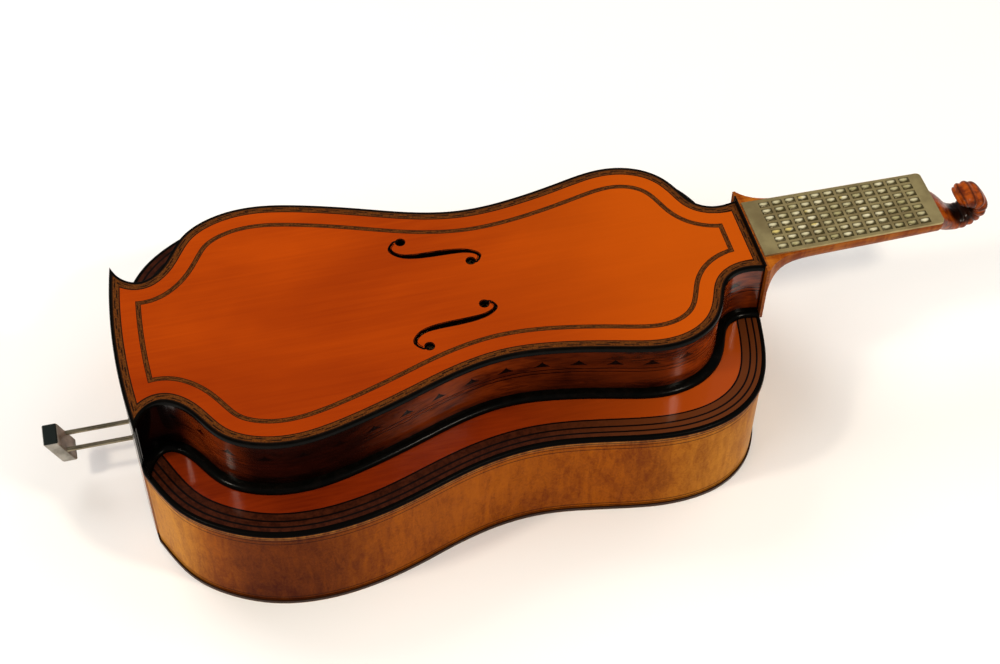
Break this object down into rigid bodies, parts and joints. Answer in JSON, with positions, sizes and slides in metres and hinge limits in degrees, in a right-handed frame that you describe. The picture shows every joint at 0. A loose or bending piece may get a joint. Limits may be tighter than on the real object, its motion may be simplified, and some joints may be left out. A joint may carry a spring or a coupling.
{
  "type": "melophone",
  "caption": "Free-reed bellows instrument with a stepped waisted body, a push-pull rod handle at the tail and a neck with a plate of rectangular button keys ending in a carved scroll.",
  "frame": {"origin": "on the flat back, on the centre line, level with the tail corners of the body", "axes": "+X from the tail and its handle towards the scroll, +Z from the flat back up through the upper table, +Y to the left of someone who looks along +X"},
  "size_m": [0.8124, 0.34, 0.1602],
  "materials": {
    "ebony": "polished black wood",
    "burr_maple": "varnished golden-brown burr veneer",
    "dark_top": "varnished dark red-brown wood",
    "rosewood": "varnished dark red wood",
    "spruce": "orange-red varnished softwood with fine lengthwise grain",
    "inlay": "brown inlaid band with dark dashes",
    "pine": "bare softwood",
    "neck_wood": "varnished orange-brown flamed wood",
    "plate_metal": "dull nickel-brass plate",
    "key_brass": "polished pale brass",
    "steel": "bright drawn steel",
    "grip_metal": "dark polished metal",
    "brass": "drawn brass",
    "bellows_leather": "folded goatskin"
  },
  "bodies": {
    "body": {"back_plate": "burr_maple", "base_moulding": "ebony", "bellows_front": "bellows_leather", "bellows_rear": "bellows_leather", "body_linings": "pine", "front_frame": "pine", "guide_board": "pine", "inner_purfling": "inlay", "key_plate": "plate_metal", "key_springs": "steel", "lower_binding": "ebony", "lower_rib_left": "burr_maple", "lower_rib_right": "burr_maple", "lower_table": "dark_top", "neck": "neck_wood", "neck_block": "pine", "neck_end_plate": "ebony", "outer_purfling": "inlay", "pallets": "pine", "rear_frame": "pine", "reed_chest": "pine", "reed_pan": "pine", "reed_plates": "brass", "rod_bushes": "brass", "scroll": "neck_wood", "tail_block": "pine", "tail_plate": "ebony", "tracker_wires": "brass", "upper_binding": "ebony", "upper_rib_left": "rosewood", "upper_rib_right": "rosewood", "upper_table": "spruce", "valve_flaps": "bellows_leather"},
    "handle": {"grip": "grip_metal", "rod_left": "steel", "rod_right": "steel", "rod_nuts": "steel", "moving_board": "pine"},
    "key_a01": {"key_a01": "key_brass"},
    "key_a02": {"key_a02": "key_brass"},
    "key_a03": {"key_a03": "key_brass"},
    "key_a04": {"key_a04": "key_brass"},
    "key_a05": {"key_a05": "key_brass"},
    "key_a06": {"key_a06": "key_brass"},
    "key_a07": {"key_a07": "key_brass"},
    "key_a08": {"key_a08": "key_brass"},
    "key_a09": {"key_a09": "key_brass"},
    "key_a10": {"key_a10": "key_brass"},
    "key_a11": {"key_a11": "key_brass"},
    "key_a12": {"key_a12": "key_brass"},
    "key_row_b": {"key_row_b": "key_brass"},
    "key_row_c": {"key_row_c": "key_brass"},
    "key_row_d": {"key_row_d": "key_brass"},
    "key_row_e": {"key_row_e": "key_brass"},
    "key_row_f": {"key_row_f": "key_brass"},
    "key_row_g": {"key_row_g": "key_brass"}
  },
  "joints": [
    {"name": "handle_slide", "type": "slide", "parent": "body", "child": "handle", "axis": [1, 0, 0], "range_m": [-0.03, 0.045], "deforming": ["bellows_rear", "bellows_front"]},
    {"name": "key_a01_press", "type": "slide", "parent": "body", "child": "key_a01", "axis": [0, 0, -1], "range_m": [0, 0.002], "stiffness_N_per_m": 60, "springref_m": -0.003, "deforming": ["key_springs"]},
    {"name": "key_a02_press", "type": "slide", "parent": "body", "child": "key_a02", "axis": [0, 0, -1], "range_m": [0, 0.002], "stiffness_N_per_m": 60, "springref_m": -0.003, "deforming": ["key_springs"]},
    {"name": "key_a03_press", "type": "slide", "parent": "body", "child": "key_a03", "axis": [0, 0, -1], "range_m": [0, 0.002], "stiffness_N_per_m": 60, "springref_m": -0.003, "deforming": ["key_springs"]},
    {"name": "key_a04_press", "type": "slide", "parent": "body", "child": "key_a04", "axis": [0, 0, -1], "range_m": [0, 0.002], "stiffness_N_per_m": 60, "springref_m": -0.003, "deforming": ["key_springs"]},
    {"name": "key_a05_press", "type": "slide", "parent": "body", "child": "key_a05", "axis": [0, 0, -1], "range_m": [0, 0.002], "stiffness_N_per_m": 60, "springref_m": -0.003, "deforming": ["key_springs"]},
    {"name": "key_a06_press", "type": "slide", "parent": "body", "child": "key_a06", "axis": [0, 0, -1], "range_m": [0, 0.002], "stiffness_N_per_m": 60, "springref_m": -0.003, "deforming": ["key_springs"]},
    {"name": "key_a07_press", "type": "slide", "parent": "body", "child": "key_a07", "axis": [0, 0, -1], "range_m": [0, 0.002], "stiffness_N_per_m": 60, "springref_m": -0.003, "deforming": ["key_springs"]},
    {"name": "key_a08_press", "type": "slide", "parent": "body", "child": "key_a08", "axis": [0, 0, -1], "range_m": [0, 0.002], "stiffness_N_per_m": 60, "springref_m": -0.003, "deforming": ["key_springs"]},
    {"name": "key_a09_press", "type": "slide", "parent": "body", "child": "key_a09", "axis": [0, 0, -1], "range_m": [0, 0.002], "stiffness_N_per_m": 60, "springref_m": -0.003, "deforming": ["key_springs"]},
    {"name": "key_a10_press", "type": "slide", "parent": "body", "child": "key_a10", "axis": [0, 0, -1], "range_m": [0, 0.002], "stiffness_N_per_m": 60, "springref_m": -0.003, "deforming": ["key_springs"]},
    {"name": "key_a11_press", "type": "slide", "parent": "body", "child": "key_a11", "axis": [0, 0, -1], "range_m": [0, 0.002], "stiffness_N_per_m": 60, "springref_m": -0.003, "deforming": ["key_springs"]},
    {"name": "key_a12_press", "type": "slide", "parent": "body", "child": "key_a12", "axis": [0, 0, -1], "range_m": [0, 0.002], "stiffness_N_per_m": 60, "springref_m": -0.003, "deforming": ["key_springs"]},
    {"name": "key_row_b_press", "type": "slide", "parent": "body", "child": "key_row_b", "axis": [0, 0, -1], "range_m": [0, 0.002], "stiffness_N_per_m": 720, "springref_m": -0.003, "deforming": ["key_springs"]},
    {"name": "key_row_c_press", "type": "slide", "parent": "body", "child": "key_row_c", "axis": [0, 0, -1], "range_m": [0, 0.002], "stiffness_N_per_m": 720, "springref_m": -0.003, "deforming": ["key_springs"]},
    {"name": "key_row_d_press", "type": "slide", "parent": "body", "child": "key_row_d", "axis": [0, 0, -1], "range_m": [0, 0.002], "stiffness_N_per_m": 720, "springref_m": -0.003, "deforming": ["key_springs"]},
    {"name": "key_row_e_press", "type": "slide", "parent": "body", "child": "key_row_e", "axis": [0, 0, -1], "range_m": [0, 0.002], "stiffness_N_per_m": 720, "springref_m": -0.003, "deforming": ["key_springs"]},
    {"name": "key_row_f_press", "type": "slide", "parent": "body", "child": "key_row_f", "axis": [0, 0, -1], "range_m": [0, 0.002], "stiffness_N_per_m": 720, "springref_m": -0.003, "deforming": ["key_springs"]},
    {"name": "key_row_g_press", "type": "slide", "parent": "body", "child": "key_row_g", "axis": [0, 0, -1], "range_m": [0, 0.002], "stiffness_N_per_m": 720, "springref_m": -0.003, "deforming": ["key_springs"]}
  ]
}
